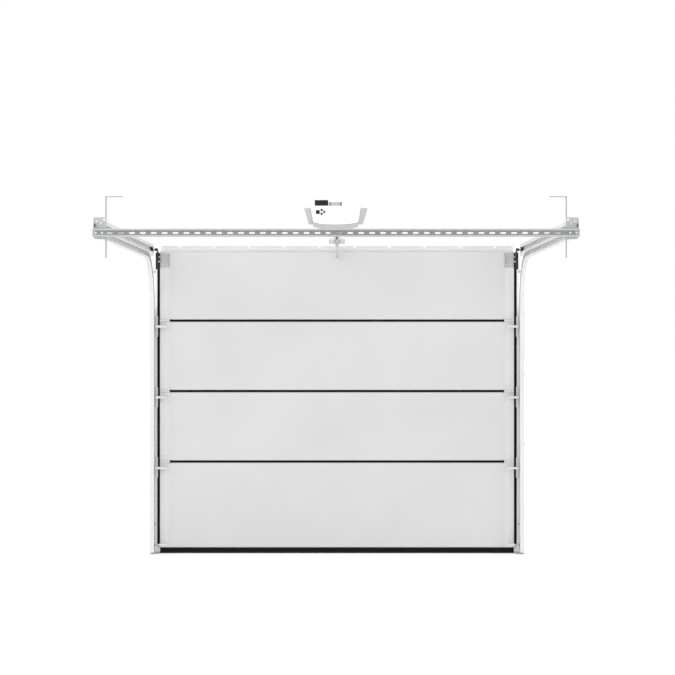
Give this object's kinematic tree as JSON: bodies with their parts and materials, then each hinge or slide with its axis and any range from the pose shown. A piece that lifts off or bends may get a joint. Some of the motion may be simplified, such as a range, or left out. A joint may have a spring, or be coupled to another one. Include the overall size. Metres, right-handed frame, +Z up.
{
  "type": "sectional garage door with opener",
  "caption": "Inside of a sectional garage door with hinged sections, low-headroom tracks, slotted rear crossbar, ceiling hangers and a rail-mounted powered opener.",
  "frame": {"origin": "on the floor, in the middle of the doorway, in the plane of the wall's inner face", "axes": "+X to the right seen from inside, +Y out of the garage through the doorway, +Z up"},
  "size_m": [2.675, 3.113, 2.319],
  "materials": {
    "white_paint": "satin",
    "zinc": "galvanised",
    "steel": "brushed",
    "cream_paint": "satin",
    "black_rubber": "matt",
    "black_metal": "satin",
    "dark_aluminium": "anodised",
    "black_plastic": "matt",
    "white_gloss": "gloss",
    "smoke_lens": "satin translucent",
    "board": "matt",
    "core": "laminated",
    "display": "gloss",
    "strip": "satin",
    "grey_plastic": "satin"
  },
  "bodies": {
    "frame": {"wall_posts": "white_paint", "vertical_track_left": "zinc", "vertical_track_right": "zinc", "curved_track_left": "zinc", "curved_track_right": "zinc", "lower_track_left": "zinc", "lower_track_right": "zinc", "upper_track_left": "zinc", "upper_track_right": "zinc", "door_seals": "black_rubber", "lintel_strip": "white_paint", "rear_crossbar": "zinc", "corner_plates": "zinc", "ceiling_hangers": "zinc", "frame_bolts": "steel", "header_bracket": "zinc", "opener_rail": "zinc", "drive_belt": "black_rubber", "rail_clamp": "white_paint", "head_base": "white_paint", "head_cover": "white_gloss", "lamp_lenses": "smoke_lens", "motor": "steel", "transformer": "core", "control_board": "board", "display_window": "display", "cover_strip": "strip", "inlet_socket": "black_plastic"},
    "door_carriage": {"top_stems": "steel"},
    "top_wheels": {"rollers_top": "black_plastic"},
    "top_leaf": {"top_section": "white_paint", "top_caps": "cream_paint", "top_brackets": "zinc", "top_arms": "black_metal", "hinge_upper_leaves": "cream_paint", "top_joint_seal": "black_rubber", "arm_bracket": "cream_paint"},
    "lower_leaf": {"lower_sections": "white_paint", "lower_caps": "cream_paint", "side_hinges": "cream_paint", "lower_joint_seals": "black_rubber", "roller_holders": "cream_paint", "roller_stems": "steel", "base_brackets": "cream_paint", "seal_retainer": "dark_aluminium", "bottom_seal": "black_rubber"},
    "upper_wheels": {"rollers_upper": "black_plastic"},
    "middle_wheels": {"rollers_middle": "black_plastic"},
    "lower_wheels": {"rollers_lower": "black_plastic"},
    "base_wheels": {"rollers_base": "black_plastic"},
    "trolley": {"trolley": "grey_plastic"},
    "release_lever": {"release_lever": "grey_plastic"},
    "door_arm": {"door_arm": "steel"},
    "belt_connector": {"belt_connector": "steel"},
    "drive_sprocket": {"drive_sprocket": "steel"},
    "idler_pulley": {"idler_pulley": "black_plastic"},
    "square_button": {"square_button": "black_plastic"},
    "up_button": {"up_button": "black_plastic"},
    "centre_button": {"centre_button": "black_plastic"},
    "down_button": {"down_button": "black_plastic"}
  },
  "joints": [
    {"name": "door_travel", "type": "slide", "parent": "frame", "child": "door_carriage", "axis": [0, -1, 0], "range_m": [0, 0.183]},
    {"name": "top_wheel_spin", "type": "hinge", "parent": "door_carriage", "child": "top_wheels", "pos_m": [0, -0.15, 2.148], "axis": [1, 0, 0], "continuous": true},
    {"name": "top_leaf_tilt", "type": "hinge", "parent": "door_carriage", "child": "top_leaf", "pos_m": [0, -0.15, 2.148], "axis": [1, 0, 0], "range_deg": [0, 22.05]},
    {"name": "leaf_hinge", "type": "hinge", "parent": "top_leaf", "child": "lower_leaf", "pos_m": [0, -0.072, 1.65], "axis": [1, 0, 0], "range_deg": [-22.05, 0]},
    {"name": "upper_wheel_spin", "type": "hinge", "parent": "lower_leaf", "child": "upper_wheels", "pos_m": [0, -0.105, 1.608], "axis": [1, 0, 0], "continuous": true},
    {"name": "middle_wheel_spin", "type": "hinge", "parent": "lower_leaf", "child": "middle_wheels", "pos_m": [0, -0.105, 1.108], "axis": [1, 0, 0], "continuous": true},
    {"name": "lower_wheel_spin", "type": "hinge", "parent": "lower_leaf", "child": "lower_wheels", "pos_m": [0, -0.105, 0.608], "axis": [1, 0, 0], "continuous": true},
    {"name": "base_wheel_spin", "type": "hinge", "parent": "lower_leaf", "child": "base_wheels", "pos_m": [0, -0.105, 0.066], "axis": [1, 0, 0], "continuous": true},
    {"name": "trolley_travel", "type": "slide", "parent": "frame", "child": "trolley", "axis": [0, -1, 0], "range_m": [0, 0.178]},
    {"name": "release_pull", "type": "hinge", "parent": "trolley", "child": "release_lever", "pos_m": [0, -0.378, 2.178], "axis": [1, 0, 0], "range_deg": [0, 25], "stiffness_Nm_per_rad": 0.05, "springref_deg": -11.46},
    {"name": "arm_pivot", "type": "hinge", "parent": "trolley", "child": "door_arm", "pos_m": [0, -0.33, 2.168], "axis": [1, 0, 0], "range_deg": [0, 6.9]},
    {"name": "connector_travel", "type": "slide", "parent": "frame", "child": "belt_connector", "axis": [0, -1, 0], "range_m": [0, 0.178]},
    {"name": "sprocket_spin", "type": "hinge", "parent": "frame", "child": "drive_sprocket", "pos_m": [0, -2.86, 2.219], "axis": [0, 0, 1], "range_deg": [-770, 0]},
    {"name": "idler_spin", "type": "hinge", "parent": "frame", "child": "idler_pulley", "pos_m": [0, -0.12, 2.219], "axis": [0, 0, 1], "range_deg": [-770, 0]},
    {"name": "square_press", "type": "slide", "parent": "frame", "child": "square_button", "axis": [0, 1, 0], "range_m": [0, 0.0012], "stiffness_N_per_m": 400},
    {"name": "up_press", "type": "slide", "parent": "frame", "child": "up_button", "axis": [0, 1, 0], "range_m": [0, 0.0012], "stiffness_N_per_m": 400},
    {"name": "centre_press", "type": "slide", "parent": "frame", "child": "centre_button", "axis": [0, 1, 0], "range_m": [0, 0.0012], "stiffness_N_per_m": 400},
    {"name": "down_press", "type": "slide", "parent": "frame", "child": "down_button", "axis": [0, 1, 0], "range_m": [0, 0.0012], "stiffness_N_per_m": 400}
  ],
  "couplings": [
    {"joint": "top_leaf_tilt", "follows": "door_travel", "rad_per_m": 2.0982},
    {"joint": "leaf_hinge", "follows": "door_travel", "rad_per_m": -2.0982},
    {"joint": "trolley_travel", "follows": "door_travel", "ratio": 0.96752},
    {"joint": "connector_travel", "follows": "door_travel", "ratio": 0.96752},
    {"joint": "arm_pivot", "follows": "door_travel", "rad_per_m": 0.64894},
    {"joint": "sprocket_spin", "follows": "door_travel", "rad_per_m": -73.02},
    {"joint": "idler_spin", "follows": "door_travel", "rad_per_m": -73.02}
  ]
}
